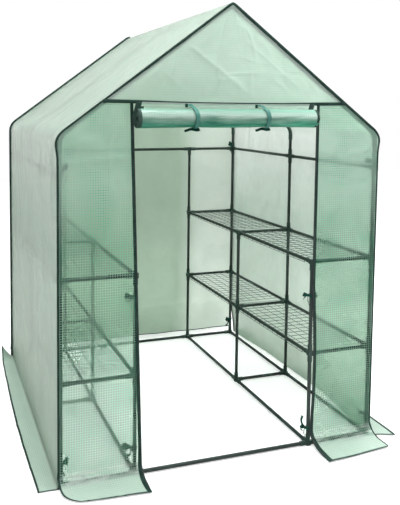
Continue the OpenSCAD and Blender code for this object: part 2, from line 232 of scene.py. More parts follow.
def join(name, pieces):
    pick(*pieces)
    bpy.ops.object.join()
    piece = bpy.context.object
    piece.name = piece.data.name = name
    return piece


# ---- The cover's outline ----

BEND_R = ELBOW_R + FILM_OFF
ROOF_LENGTH = math.hypot(
    BEND_X + ELBOW_R * math.sin(SLOPE), RIDGE_Z - BEND_Z - ELBOW_R * math.cos(SLOPE)
)
# Distances down the outline, from the top of the ridge
RIDGE_ARC = FILM_OFF * SLOPE
EAVE_START = RIDGE_ARC + ROOF_LENGTH
EAVE_END = EAVE_START + BEND_R * EAVE_TURN
GROUND_R = EAVE_END + BEND_Z


def outline_half(r):
    """Points and normals down the right half of the outline, by the distance r from the ridge."""
    over_ridge = np.clip(r, 0, RIDGE_ARC) / FILM_OFF
    slide = np.clip(r - RIDGE_ARC, 0, ROOF_LENGTH)
    x = FILM_OFF * np.sin(over_ridge) + slide * math.cos(SLOPE)
    z = RIDGE_Z + FILM_OFF * np.cos(over_ridge) - slide * math.sin(SLOPE)
    turn = SLOPE + np.clip(r - EAVE_START, 0, EAVE_END - EAVE_START) / BEND_R
    in_bend = r > EAVE_START
    x = np.where(in_bend, BEND_X + BEND_R * np.sin(turn), x)
    z = np.where(in_bend, BEND_Z + BEND_R * np.cos(turn), z)
    x = np.where(r > EAVE_END, SIDE_X, x)
    z = np.where(r > EAVE_END, BEND_Z - (r - EAVE_END), z)
    angle = np.where(in_bend, turn, over_ridge)
    return x, z, np.sin(angle), np.cos(angle)


def half_width(z):
    """Half the width of the outline at a height."""
    r = np.linspace(0, GROUND_R, 1200)
    x, height, _, _ = outline_half(r)
    return np.interp(z, height[::-1], x[::-1])


def bulge(r, y):
    """How far the elbows push the film out near the front edge."""
    middle = (EAVE_START + EAVE_END) / 2 + 0.03
    near_edge = ease(-y, POST_Y - 0.10, POST_Y)
    return 0.007 * np.exp(-(((r - middle) / 0.035) ** 2)) * near_edge


# ---- Materials ----


def new_material(name):
    material = bpy.data.materials.new(name)
    material.use_nodes = True
    material.node_tree.nodes.clear()
    return material, material.node_tree


def node(tree, kind, **inputs):
    """A node with its inputs set by name, with spaces as underscores, or linked from a socket."""
    made = tree.nodes.new(kind)
    for key, value in inputs.items():
        if hasattr(made, key) and not key[0].isupper():
            setattr(made, key, value)
            continue
        index = int(key[1:]) if key[0] == "I" and key[1:].isdigit() else key.replace("_", " ")
        socket = made.inputs[index]
        if isinstance(value, bpy.types.NodeSocket):
            tree.links.new(value, socket)
        else:
            socket.default_value = value
    return made


def maths(tree, operation, first, second=None, clamp=False):
    made = tree.nodes.new("ShaderNodeMath")
    made.operation = operation
    made.use_clamp = clamp
    for socket, value in zip(made.inputs, (first, second)):
        if isinstance(value, bpy.types.NodeSocket):
            tree.links.new(value, socket)
        elif value is not None:
            socket.default_value = value
    return made.outputs[0]


def spread(tree, value, low, high, to_low, to_high):
    """Maps a value from one range to another, clamped."""
    made = node(
        tree, "ShaderNodeMapRange", Value=value,
        From_Min=low, From_Max=high, To_Min=to_low, To_Max=to_high,
    )
    return made.outputs["Result"]


def blend_colour(tree, share, first, second):
    made = tree.nodes.new("ShaderNodeMix")
    made.data_type = "RGBA"
    for index, value in ((0, share), (6, first), (7, second)):
        if isinstance(value, bpy.types.NodeSocket):
            tree.links.new(value, made.inputs[index])
        else:
            made.inputs[index].default_value = value
    return made.outputs[2]


def times(tree, first, second):
    """One colour multiplied by another."""
    if not isinstance(first, bpy.types.NodeSocket):
        first = first[:3]
    return node(tree, "ShaderNodeVectorMath", operation="MULTIPLY", I0=first, I1=second).outputs[0]


def colour(red, green, blue):
    return (red, green, blue, 1.0)


def noise_of(tree, vector, scale, detail=2.0, roughness=0.5):
    made = node(tree, "ShaderNodeTexNoise", Vector=vector, Scale=scale, Detail=detail, Roughness=roughness)
    return made.outputs["Fac"]


def drawn_out(tree, place, scale):
    """Coordinates scaled, so that a pattern on them is longer one way than another."""
    return node(tree, "ShaderNodeMapping", Vector=place, Scale=scale).outputs[0]


def flat_place(tree):
    """The flat coordinates of a sheet, in metres."""
    uv = node(tree, "ShaderNodeUVMap", uv_map="UVMap").outputs[0]
    return node(tree, "ShaderNodeSeparateXYZ", Vector=uv).outputs


def flat_way(tree, flat, axis):
    """One flat coordinate of a sheet, or the distance out from the middle of its width."""
    return maths(tree, "ABSOLUTE", flat["X"]) if axis == "out" else flat[axis]


WHITE = colour(1.0, 1.0, 1.0)
CLEAR = colour(0.945, 1.0, 0.96)
LAID_CELL = colour(0.46, 0.58, 0.50)
LAID_THREAD = colour(0.33, 0.46, 0.38)
CREASED = colour(0.96, 1.0, 0.98)
SCRIM = 0.010


def scrim_threads(tree, flat, lines, upright=1.0):
    """1 on the scrim's threads and 0 in its cells, from the sheet's flat coordinates.

    lines holds the shares of half a cell at which a thread starts and is full.
    """
    masks = []
    for axis, strength in (("X", upright), ("Y", 1.0)):
        turns = maths(tree, "MULTIPLY", flat[axis], 1 / SCRIM)
        middle = maths(tree, "ABSOLUTE", maths(tree, "SUBTRACT", maths(tree, "FRACT", turns), 0.5))
        masks.append(spread(tree, middle, *lines, 0.0, strength))
    return maths(tree, "MAXIMUM", *masks)


def film_material(
    name, cell, thread, covers, through, bend, lines=(0.30, 0.38), upright=1.0,
    laid=None, crumpled=None, painted_shading=(), painted_light_veil=None, cloudy=0.08,
):
    """Reinforced film: clear cells between woven threads, both cloudy, with fine creases.

    covers holds how much the cells and the threads hide, through how much light they let on when
    they hide what is behind, and bend is the index of refraction. upright is the strength of the
    upright threads. laid is the flat way and the two places between which the film comes to lie on
    the ground, and crumpled is the height under which it is whitish with creases. Each of the painted
    shades is a flat way, the two places between which the painted shade and light come on, and the
    colour that the film's colour is then multiplied by: darker for painted shade, brighter for painted
    light. The veil is the two heights between which the film is made cloudier and so paler, and by how
    much: painted light for the brighter light near the top. cloudy is how uneven it is all over.
    """
    material, tree = new_material(name)
    flat = flat_place(tree)
    threads = scrim_threads(tree, flat, lines, upright)
    place = node(tree, "ShaderNodeTexCoord").outputs["Object"]
    cloud = noise_of(tree, place, 4.5, 3.0)
    haze = noise_of(tree, place, 22.0, 3.0, 0.6)
    patch = noise_of(tree, place, 9.0, 2.0)
    threads = maths(tree, "MULTIPLY", threads, spread(tree, patch, 0.3, 0.7, 0.6, 1.0))
    pale = colour(*(min(1.0, share * 1.2 + 0.05) for share in cell[:3]))
    tone = blend_colour(tree, spread(tree, haze, 0.45, 0.75, 0.0, 0.35), cell, pale)
    tone = blend_colour(tree, threads, tone, thread)
    tint = CLEAR
    # Painted shade and light: the film's colour is multiplied by a darker colour for painted shade, or a
    # brighter one for painted light, between two places; along X the clear part is darkened too
    for axis, start, end, painted_colour in painted_shading:
        share = spread(tree, flat_way(tree, flat, axis), start, end, 0.0, 1.0)
        painted_factor = blend_colour(tree, share, WHITE, painted_colour)
        tone = times(tree, tone, painted_factor)
        if axis == "X":
            tint = times(tree, tint, painted_factor)
    cover = spread(tree, threads, 0.0, 1.0, *covers)
    cover = maths(tree, "ADD", cover, spread(tree, cloud, 0.3, 0.7, -cloudy, cloudy), clamp=True)
    # Painted light: the veil makes the film cloudier and paler towards its top, standing in for the brighter
    # light there
    if painted_light_veil:
        start, end, more = painted_light_veil
        cover = maths(tree, "ADD", cover, spread(tree, flat["Y"], start, end, 0.0, more), clamp=True)
    # Seen on the slant, the film is thicker to look through
    facing = node(tree, "ShaderNodeLayerWeight", Blend=0.5).outputs["Facing"]
    slant = spread(tree, facing, 0.55, 1.0, 1.0, 0.15)
    cover = maths(tree, "SUBTRACT", 1.0, maths(tree, "MULTIPLY", maths(tree, "SUBTRACT", 1.0, cover), slant))
    glow = through[0] if through[0] == through[1] else spread(tree, threads, 0.0, 1.0, *through)
    if painted_light_veil:
        glow = maths(tree, "MULTIPLY", glow, spread(tree, flat["Y"], start, end, 1.0, 1.0 - more))
    if crumpled:
        crumple = noise_of(tree, drawn_out(tree, place, (9.0, 40.0, 40.0)), 1.0, 4.0, 0.65)
        low = spread(tree, flat["Y"], crumpled, crumpled - 0.025, 0.0, 1.0)
        crumple = maths(tree, "MULTIPLY", spread(tree, crumple, 0.42, 0.58, 0.0, 0.8), low)
        tone = blend_colour(tree, crumple, tone, CREASED)
        cover = maths(tree, "MAXIMUM", cover, maths(tree, "MULTIPLY", crumple, 0.85))
    if laid:
        axis, start, end = laid
        ground = spread(tree, flat_way(tree, flat, axis), start, end, 0.0, 1.0)
        tone = blend_colour(tree, ground, tone, blend_colour(tree, threads, LAID_CELL, LAID_THREAD))
        cover = maths(tree, "MAXIMUM", cover, maths(tree, "MULTIPLY", ground, 0.93))
        glow = maths(tree, "MULTIPLY", glow, maths(tree, "SUBTRACT", 1.0, ground))
    ridges = noise_of(tree, place, 14.0, 4.0, 0.55)
    folds = maths(tree, "ABSOLUTE", maths(tree, "SUBTRACT", ridges, 0.5))
    weave = node(tree, "ShaderNodeBump", Strength=0.25, Distance=0.0006, Height=threads)
    bump = node(tree, "ShaderNodeBump", Strength=0.5, Distance=0.006, Height=folds, Normal=weave.outputs[0])
    skin = node(
        tree, "ShaderNodeBsdfPrincipled", Base_Color=tone, Roughness=0.42, IOR=bend,
        Transmission_Weight=glow, Normal=bump.outputs[0],
    )
    clear = node(tree, "ShaderNodeBsdfTransparent", Color=tint)
    mix = node(tree, "ShaderNodeMixShader", Fac=cover, I1=clear.outputs[0], I2=skin.outputs[0])
    node(tree, "ShaderNodeOutputMaterial", Surface=mix.outputs[0])
    return material


def paint_material(name, dark, light, roughness):
    """Powder coat or moulded plastic: a fine orange peel and slightly worn, uneven tone."""
    material, tree = new_material(name)
    place = node(tree, "ShaderNodeTexCoord").outputs["Object"]
    broad = noise_of(tree, place, 5.0, 3.0)
    fine = noise_of(tree, place, 600.0, 2.0)
    tone = blend_colour(tree, spread(tree, broad, 0.3, 0.7, 0.0, 1.0), dark, light)
    shine = spread(tree, noise_of(tree, place, 60.0, 3.0), 0.3, 0.7, roughness - 0.07, roughness + 0.1)
    peel = node(tree, "ShaderNodeBump", Strength=0.3, Distance=0.0003, Height=fine)
    skin = node(tree, "ShaderNodeBsdfPrincipled", Base_Color=tone, Roughness=shine, Normal=peel.outputs[0])
    node(tree, "ShaderNodeOutputMaterial", Surface=skin.outputs[0])
    return material


def woven_material(name, dark, light, roughness, pitch=0.0016, gloss=0.15):
    """Woven tape or ribbon: crossing ribs on the sheet's own flat coordinates."""
    material, tree = new_material(name)
    flat = flat_place(tree)
    turns = (maths(tree, "MULTIPLY", flat[axis], 2 * math.pi / pitch) for axis in ("X", "Y"))
    weave = maths(tree, "MULTIPLY", *(maths(tree, "SINE", turn) for turn in turns))
    place = node(tree, "ShaderNodeTexCoord").outputs["Object"]
    worn = noise_of(tree, place, 30.0, 4.0, 0.6)
    tone = blend_colour(tree, spread(tree, worn, 0.35, 0.7, 0.0, 1.0), dark, light)
    bump = node(tree, "ShaderNodeBump", Strength=0.4, Distance=0.0004, Height=weave)
    skin = node(
        tree, "ShaderNodeBsdfPrincipled", Base_Color=tone, Roughness=roughness,
        Specular_IOR_Level=gloss, Normal=bump.outputs[0],
    )
    node(tree, "ShaderNodeOutputMaterial", Surface=skin.outputs[0])
    return material


def roll_material():
    """The rolled film: many layers read as solid and glossy, with painted shade that makes it deeper green
    where it turns down.
    """
    material, tree = new_material("rolled_film")
    place = node(tree, "ShaderNodeTexCoord").outputs["Object"]
    way = node(tree, "ShaderNodeSeparateXYZ", Vector=place).outputs
    streak = noise_of(tree, drawn_out(tree, place, (4.0, 30.0, 30.0)), 1.6, 4.0, 0.6)
    lifted = maths(tree, "MULTIPLY", maths(tree, "SUBTRACT", streak, 0.5), 0.030)
    height = maths(tree, "ADD", way["Z"], lifted)
    streaks = spread(tree, streak, 0.35, 0.65, 0.0, 1.0)
    # Painted shade: the underside is a darker green than the top, for light that falls from above
    low = blend_colour(tree, streaks, colour(0.012, 0.110, 0.068), colour(0.060, 0.29, 0.19))
    high = blend_colour(tree, streaks, colour(0.15, 0.28, 0.22), colour(0.31, 0.43, 0.365))
    broad = noise_of(tree, drawn_out(tree, place, (5.0, 9.0, 9.0)), 1.0)
    wander = maths(tree, "MULTIPLY", maths(tree, "SUBTRACT", broad, 0.45), 0.05)
    rise = maths(tree, "SUBTRACT", height, wander)
    rise = spread(tree, rise, ROLL_Z - 0.024, ROLL_Z + 0.006, 0.0, 1.0)
    tone = blend_colour(tree, rise, low, high)
    # Painted highlight: a bright band along the front, and painted shade in a green band over it along the
    # top
    shine = maths(
        tree, "MULTIPLY", spread(tree, height, ROLL_Z - 0.002, ROLL_Z + 0.010, 0.0, 0.40),
        spread(tree, height, ROLL_Z + 0.026, ROLL_Z + 0.014, 0.0, 1.0),
    )
    tone = blend_colour(tree, shine, tone, colour(0.50, 0.63, 0.57))
    # Painted shade along the top of the roll
    painted_top_shade = spread(tree, height, ROLL_Z + 0.018, ROLL_Z + 0.032, 0.0, 0.7)
    tone = blend_colour(tree, painted_top_shade, tone, colour(0.11, 0.27, 0.20))
    paler = spread(tree, way["X"], -0.2, 0.30, 0.92, 1.22)
    tone = node(tree, "ShaderNodeVectorMath", operation="SCALE", I0=tone, Scale=paler).outputs[0]
    threads = scrim_threads(tree, flat_place(tree), (0.32, 0.42))
    tone = blend_colour(tree, maths(tree, "MULTIPLY", threads, 0.25), tone, colour(0.05, 0.22, 0.14))
    bump = node(tree, "ShaderNodeBump", Strength=0.6, Distance=0.005, Height=streak)
    skin = node(
        tree, "ShaderNodeBsdfPrincipled", Base_Color=tone, Roughness=0.33, Normal=bump.outputs[0],
        Specular_IOR_Level=spread(tree, rise, 0.0, 1.0, 0.10, 0.40),
        Coat_Weight=spread(tree, rise, 0.0, 1.0, 0.02, 0.2), Coat_Roughness=0.15,
    )
    node(tree, "ShaderNodeOutputMaterial", Surface=skin.outputs[0])
    return material


def floor_material():
    """A pale studio floor that shows brighter than the light it gives back."""
    material, tree = new_material("studio_floor")
    seen = node(tree, "ShaderNodeLightPath").outputs["Is Camera Ray"]
    skin = node(
        tree, "ShaderNodeBsdfPrincipled", Base_Color=colour(0.70, 0.70, 0.70), Roughness=0.9,
        Specular_IOR_Level=0.2, Emission_Color=WHITE, Emission_Strength=maths(tree, "MULTIPLY", seen, 0.5),
    )
    node(tree, "ShaderNodeOutputMaterial", Surface=skin.outputs[0])
    return material


POWDER_COAT = paint_material("powder_coat", colour(0.008, 0.020, 0.017), colour(0.016, 0.034, 0.029), 0.38)
SOCKET_PLASTIC = paint_material(
    "socket_plastic", colour(0.012, 0.036, 0.028), colour(0.020, 0.052, 0.041), 0.48
)
WIRE_COAT = paint_material("wire_coat", colour(0.020, 0.045, 0.036), colour(0.034, 0.066, 0.055), 0.42)
# Painted light under the eaves: how much paler the walls are painted just below them
PAINTED_EAVE_LIGHT = (1.42, 1.24, 1.36)
WALL_FILM = film_material(
    "wall_film", colour(0.66, 0.775, 0.69), colour(0.52, 0.655, 0.55),
    covers=(0.74, 0.90), through=(0.86, 0.86), bend=1.38,
    laid=("out", GROUND_R - 0.008, GROUND_R + 0.006),
    painted_shading=[
        # Painted shade: darker towards the ground
        ("out", GROUND_R - 0.9, GROUND_R - 0.1, colour(0.86, 0.86, 0.83)),
        # Painted light: paler just under the eaves, taken off again round the eaves so the roof keeps its own
        # colour
        ("out", EAVE_END + 0.42, EAVE_END, colour(*PAINTED_EAVE_LIGHT)),
        ("out", EAVE_END, EAVE_START, colour(*(1 / share for share in PAINTED_EAVE_LIGHT))),
    ],
)
BACK_FILM = film_material(
    "back_film", colour(0.68, 0.77, 0.68), colour(0.42, 0.52, 0.43),
    covers=(0.72, 0.93), through=(0.82, 0.82), bend=1.38,
    # Painted shade over the left and middle of the back, darkening its clear part too, and painted light on
    # its leaning foot
    painted_shading=[("X", 0.47, 0.33, colour(0.68, 0.76, 0.69)), ("Y", 0.27, 0.19, colour(1.20, 1.20, 1.20))],
    cloudy=0.03,
)
FRONT_FILM = film_material(
    "front_film", colour(0.82, 0.97, 0.88), colour(0.070, 0.34, 0.20),
    covers=(0.26, 0.92), through=(1.0, 0.24), bend=1.20, lines=(0.36, 0.44),
    # The veil is painted light: cloudier and paler towards the top of the panels
    laid=("Y", 0.030, 0.0), crumpled=0.072, painted_light_veil=(0.94, 1.18, 0.28),
    # Painted shade on the right panel, on its clear part too
    painted_shading=[("X", 0.2, 0.5, colour(0.93, 0.95, 0.94))],
)
GABLE_FILM = film_material(
    "gable_film", colour(0.90, 1.0, 0.94), colour(0.54, 0.75, 0.63),
    covers=(0.80, 0.94), through=(0.68, 0.68), bend=1.38, upright=0.35,
)
ROLLED_FILM = roll_material()
TAPE = woven_material("woven_tape", colour(0.010, 0.031, 0.024), colour(0.026, 0.060, 0.047), 0.75)
HEM = woven_material("hem_stitch", colour(0.026, 0.055, 0.044), colour(0.060, 0.105, 0.088), 0.75)
ZIP_TEETH = woven_material(
    "zip_teeth", colour(0.006, 0.012, 0.012), colour(0.022, 0.032, 0.032), 0.4, pitch=0.003, gloss=0.4
)
RIBBON = woven_material("green_ribbon", colour(0.005, 0.042, 0.030), colour(0.011, 0.082, 0.060), 0.60)
STRAP = woven_material("door_strap", colour(0.026, 0.145, 0.115), colour(0.050, 0.21, 0.165), 0.45, gloss=0.4)


# ---- Film pieces ----

FRAME_YS = (-POST_Y, 0.0, POST_Y)
GROUND_GAP = 0.0022
PEAK_Z = RIDGE_Z + FILM_OFF / math.cos(SLOPE) - 0.004

# The height under which the right wall and the back lean out
FOOT_Z = 0.23
# The share of each half of the long film that stands up, its fold at the ground and its whole skirt
WALL_SHARE = 0.93
FOLD_R = 0.006
FOLD_RUN = 0.012
SKIRT_RUN = 0.11
# How far the left skirt lies out over the ground, at places along its length
LEFT_SKIRT_YS = (-0.71, -0.45, -0.15, 0.12, 0.35, 0.60, 0.73)
LEFT_SKIRT = (0.079, 0.085, 0.088, 0.084, 0.077, 0.070, 0.063)
# The flap's share of a front panel, its run, and the height on each side at which it starts to bend out
FLAP_SHARE = 0.10
FLAP_RUN = 0.135
FLAP_LIFT = {-1: 0.048, 1: 0.066}
# Steps along the foot of each half of a binding
FOOT_STEPS = 24


def foot_lean(z):
    """0 down to the height where the walls start to lean out, and 1 at the ground."""
    lean = np.clip((FOOT_Z - z) / FOOT_Z, 0, 1)
    return (lean + ease(lean, 0, 1)) / 2


def right_flare(y):
    """How far the right wall leans out at the ground, along its length."""
    return 0.052 * ease(y, -POST_Y, -0.25) * (1 - 0.5 * ease(y, 0.25, POST_Y))


def skirt_reach(side, y):
    """How far a side skirt lies out over the ground from the foot of its wall."""
    right = SKIRT_LIMIT - SIDE_X - right_flare(y) - 0.004 + 0.004 * np.sin(y * 13 + 1)
    return np.where(side < 0, np.interp(y, LEFT_SKIRT_YS, LEFT_SKIRT), right)


# Folds under the left eave: each has a start and an end by the distance from the ridge and y, and a height
LEFT_WALL_FOLDS = [
    ((-0.905, -0.665), (-1.060, -0.545), 0.009),
    ((-0.930, -0.640), (-1.240, -0.600), 0.005),
    ((-0.900, -0.360), (-1.150, -0.300), 0.004),
    ((-0.900, 0.180), (-1.120, 0.140), 0.003),
]


def place_tunnel(u, v):
    """The one length of film over both walls and the roof, with a skirt at each end."""
    side = np.where(u < 0.5, -1.0, 1.0)
    ground = GROUND_R - FOLD_R
    shares = [0.0, WALL_SHARE, WALL_SHARE + 0.005, WALL_SHARE + 0.02, 1.0]
    runs = [0.0, ground, ground + 0.001, ground + FOLD_RUN, ground + SKIRT_RUN]
    r = np.interp(np.abs(u - 0.5) * 2, shares, runs)
    y = (v - 0.5) * 2 * BACK_Y
    x, z, nx, nz = outline_half(np.minimum(r, ground))
    flat_u, flat_v = side * r, y
    # Slack between the tubes: the roof hangs a little, the walls wander in and out
    roof = ease(r, 0.03, 0.12) * (1 - ease(r, EAVE_START - 0.10, EAVE_START + 0.01))
    wall = ease(r, EAVE_END + 0.02, EAVE_END + 0.12)
    free_y = off_lines(y, FRAME_YS)
    rails = off_lines(z, (BASE_Z, LOWER_Z, UPPER_Z, TOP_Z))
    sag = -0.011 * roof * free_y * (0.75 + 0.25 * soft_noise(flat_u, flat_v, 0.3, 3))
    drift = 0.0045 * wall * free_y * rails * soft_noise(flat_u, flat_v, 0.22, 5)
    # Soft upright folds that start under the eaves and die out down the walls
    fade = np.exp(-np.clip(r - EAVE_START, 0, None) / 0.35) * ease(r, EAVE_START - 0.15, EAVE_START + 0.02)
    a, b = turned(flat_u, flat_v, 12)
    folds = 0.0045 * fade * (soft_noise(a * 0.22, b, 0.045, 7) + 0.6)
    slant = 0.0016 * crease(*turned(flat_u * 0.6, flat_v, 35), 0.16, 11) * (roof + wall)
    slant = slant + 0.0013 * crease(*turned(flat_u * 0.5, flat_v, -28), 0.12, 13) * (roof + wall)
    for start, end, high in LEFT_WALL_FOLDS:
        slant = slant + high * fold_line(flat_u, flat_v, start, end, 0.016)
    out = sag + drift + folds * free_y + slant * free_y + bulge(r, y)
    x = x + out * nx
    z = z + out * nz
    # The right wall leans out near the ground
    on_ground = r > ground
    x = x + np.where(side > 0, np.where(on_ground, 1.0, foot_lean(z)), 0.0) * right_flare(y)
    # The skirt turns out round a small fold and lies on the ground in shallow waves
    over = np.clip(r - ground, 0, None)
    turn = np.clip(over / FOLD_R, 0, math.pi / 2)
    run = np.clip((over - FOLD_RUN) / (SKIRT_RUN - FOLD_RUN), 0, 1)
    out = FOLD_R * (1 - np.cos(turn)) + run * (skirt_reach(side, y) - FOLD_R)
    x = np.where(on_ground, x + out, x)
    wave = np.where(side < 0, 0.002, 0.004) * (1 + soft_noise(y, run * 0.1, 0.11, 17)) * ease(run, 0.0, 0.5)
    lift = run**1.3 * np.where(side < 0, 0.068 * ease(y, 0.62, BACK_Y), 0.014 * ease(y, 0.42, BACK_Y))
    z = np.where(on_ground, GROUND_GAP + FOLD_R * (1 - np.sin(turn)) + wave + lift, z)
    z = np.maximum(z, GROUND_GAP)
    y = np.where(on_ground & (side > 0), y - 0.040 * run * ease(-y, 0.45, BACK_Y), y)
    points = columns(side * x, y, z)
    return points, columns(flat_u, flat_v)


def make_tunnel():
    piece = sheet("side_and_roof_film", 330, 98, place_tunnel, FILM_T)
    finish_piece(
        piece, "wall_film", WALL_FILM, "left_wall_cover", "right_wall_cover", "left_eave_cover",
        "right_eave_cover", "left_roof_cover", "right_roof_cover", "left_ground_flap", "right_ground_flap",
    )
    for word, low, inward, cloth in (("left", 0.0, 1, TAPE), ("right", 1.0, -1, HEM)):
        edge = laid_on(place_tunnel, lambda u, v: low + inward * u * 0.0026, lambda u, v: v)
        parts = [sheet(f"{word}_skirt_hem", 1, 98, edge, 0.0030)]
        for end in (0, 1):
            edge = laid_on(
                place_tunnel, lambda u, v: low + inward * u * 0.034,
                lambda u, v: end + (0.5 - end) * v * 0.006,
            )
            parts.append(sheet(f"{word}_skirt_end", 24, 1, edge, 0.0024))
        finish_piece(join(f"{word}_skirt_hem", parts), "tape", cloth)


def edge_half(side, y, foot):
    """Up one half of the binding, from foot to ridge: its fold, the ways that its two legs lie, and the
    width of the leg on the end wall."""
    r = np.linspace(GROUND_R - (FLAP_LIFT[1] if y < 0 else FOOT_Z), 0, 170)
    x, z, nx, nz = outline_half(r)
    out = bulge(r, y)
    up = columns(side * (x + out * nx), np.full(r.shape, y), z + out * nz)
    inward = columns(-side * nx, 0 * r, -nz)
    low = foot(np.linspace(0, 1, FOOT_STEPS))
    # A hair lower, so that the start of the straight part counts too
    above = up[:, 2] > low[-1, 2] - 1e-6
    # The leg on the end wall is narrow on the posts and low on the left slope
    if side < 0:
        wide = 0.0062 - 0.0010 * ease(EAVE_END - r, 0.0, 0.08) + 0.0034 * ease(EAVE_END - r, 0.15, 0.6)
    else:
        wide = 0.0062 + 0.0052 * ease(EAVE_END - r, 0.0, 0.08)
    level = np.tile([-float(side), 0.0, 0.0], (FOOT_STEPS - 1, 1))
    inward = np.concatenate([level, inward[above]])
    wide = np.concatenate([np.full(FOOT_STEPS - 1, 0.0050), wide[above]])
    # The other leg lies back along the side, and stands up as piping at the back
    behind = np.tile([0.0, -math.copysign(1.0, y), 0.0], (len(r), 1))
    if y > 0:
        behind = columns(side * nx, 0 * r, nz)
    behind = np.concatenate([-level, behind[above]])
    return np.concatenate([low[:-1], up[above]]), inward, behind, wide


def make_edge_bindings():
    """The binding that joins the roof and walls to the front and to the back, folded over the edge."""
    feet = {
        "front": lambda side, over: place_front_panel(side, 1 + 0 * over, over * FLAP_SHARE)[0],
        "back": lambda side, over: place_tunnel(
            0.5 + side * WALL_SHARE / 2 * (1 - 0.1 * over), 1 + 0 * over
        )[0],
    }
    for word, y, piping in (("front", FRONT_Y, 0.0070), ("back", BACK_Y, 0.0105)):
        left = edge_half(-1, y, lambda over: feet[word](-1, over))
        right = edge_half(1, y, lambda over: feet[word](1, over))
        fold, inward, backward, front_leg = (
            np.concatenate([one, other[::-1][1:]]) for one, other in zip(left, right)
        )
        fold[:, 2] = np.maximum(fold[:, 2], GROUND_GAP)
        # On the ground the binding is only a hem
        low = (np.abs(fold[:, 1] - y) > 0.004) & (fold[:, 2] < 0.2)
        side_leg = np.where(low, 0.0008, piping)
        even = np.ones(9) / 9
        front_leg, side_leg = (
            np.convolve(np.pad(leg, 4, mode="edge"), even, mode="valid") for leg in (front_leg, side_leg)
        )
        run = run_along(fold)

        def place(u, v):
            at = v * run[-1]
            ripple = 1 + 0.12 * soft_noise(at, 0 * at, 0.05, 71)
            ahead = np.clip(2 * u - 1, 0, 1) * np.interp(at, run, front_leg) * ripple
            behind = np.clip(1 - 2 * u, 0, 1) * np.interp(at, run, side_leg)
            points = read_at(at, run, fold) + ahead[:, None] * unit(read_at(at, run, inward))
            points = points + behind[:, None] * unit(read_at(at, run, backward))
            return points, columns(ahead - behind, at)

        tape = sheet(f"{word}_edge_piping", 4, 420, place, 0.0026)
        finish_piece(tape, "tape", TAPE, f"{word}_edge_binding")


def door_edge(side, z):
    """Distance of a front panel's inner edge from the middle: the loose edge wanders a little."""
    if side < 0:
        return ZIP_X + 0.030 * (z - 0.62) - ZIP_W / 2
    return ZIP_X + 0.007 + 0.014 * np.sin(math.pi * np.clip(z, 0, 0.72) / 0.72) - ZIP_W / 2


def panel_height(side, v, top):
    """The height up a front panel, from where its flap starts to its top."""
    lift = FLAP_LIFT[side]
    return lift + np.clip((v - FLAP_SHARE) / (1 - FLAP_SHARE), 0, None) * (top - lift)


def flap_reach(side, u):
    """How far the flap of a front panel lies out over the ground."""
    return 0.150 - 0.030 * u if side > 0 else 0.130 - 0.016 * u


# Folds that run from the eaves across the front panels: each has a start and an end by the distance
# from the middle and z, and a height
CORNER_FOLDS = {
    -1: [
        ((0.712, 1.270), (0.430, 1.297), 0.0050),
        ((0.713, 1.365), (0.697, 1.180), 0.0045),
        ((0.700, 1.339), (0.555, 1.374), 0.0030),
    ],
    1: [((0.705, 1.330), (0.560, 1.290), 0.0030)],
}


def place_front_panel(side, u, v):
    """A front panel beside the doorway, and the flap that it turns into on the ground."""
    lift = FLAP_LIFT[side]
    height = panel_height(side, v, HEADER_Z + 0.002)
    over = np.clip((FLAP_SHARE - v) / FLAP_SHARE, 0, None)
    inner = door_edge(side, np.where(over > 0, lift * (1 - over), height))
    outer = half_width(height) - 0.0008
    x = inner + u * (outer - inner)
    flat_x, flat_z = x, height - over * FLAP_RUN
    free_x = off_lines(x, (DOOR_POST_X, POST_X), 0.012, 0.07)
    free_z = off_lines(height, (LOWER_Z, UPPER_Z), 0.012, 0.07)
    free = free_x * np.where(height > UPPER_Z + 0.07, 1.0, free_z) * ease(HEADER_Z - height, 0.0, 0.10)
    free = free * ease(half_width(height) - x, 0.01, 0.07)
    out = 0.0045 * soft_noise(flat_x, flat_z, 0.17, 21 + int(side)) * free
    out = out + 0.0024 * crease(*turned(flat_x, flat_z * 0.35, 10), 0.09, 23 + int(side)) * free
    eaves = ease(height, 1.16, 1.26) * (1 - ease(height, 1.34, 1.46)) * free
    if side > 0:
        out = out + 0.006 * eaves * soft_noise(flat_x * 0.45, flat_z, 0.035, 29)
    else:
        out = out + 0.003 * eaves * soft_noise(flat_x * 0.5, flat_z, 0.05, 31)
    for start, end, high in CORNER_FOLDS[side]:
        out = np.abs(out) + high * fold_line(flat_x, flat_z, start, end, 0.009) * ease(outer - x, 0.0, 0.02)
    # The flap: it bends out over the base rail and lies down on the ground
    reach = flap_reach(side, u) * over**1.35
    down = GROUND_GAP + (lift - GROUND_GAP) * np.clip(1 - over, 0, 1) ** 2.3
    corner = 0.090 if side < 0 else 0.010
    t = np.clip((0.116 * over**1.35 - 0.116 + corner) / corner, 0, 1)
    trim = corner * (1 - np.sqrt(np.clip(1 - t * t, 0, 1)))
    lean, toe = (0.016, 0.006) if side > 0 else (-0.006, 0.0)
    left = inner + toe * ease(over, 0, 1)
    right = outer + lean * ease(over, 0, 1) - trim
    lying = over > 0
    x = np.where(lying, left + u * (right - left), x)
    wave = 0.0035 * (1 + soft_noise(x, reach, 0.09, 33)) * ease(reach, 0.03, 0.10)
    y = FRONT_Y - np.abs(out) - reach
    z = np.where(lying, down + wave, height)
    points = columns(side * x, y, z)
    return points, columns(side * flat_x, flat_z)


def panel_share(side, width):
    """Turns a width in metres at a panel's inner edge into a share of the panel's own width."""

    def share(u, v):
        height = panel_height(side, v, HEADER_Z)
        wide = width * (1.6 - 0.6 * ease(v, 0.3 * FLAP_SHARE, 1.5 * FLAP_SHARE))
        return u * wide / (half_width(height) - door_edge(side, height))

    return share


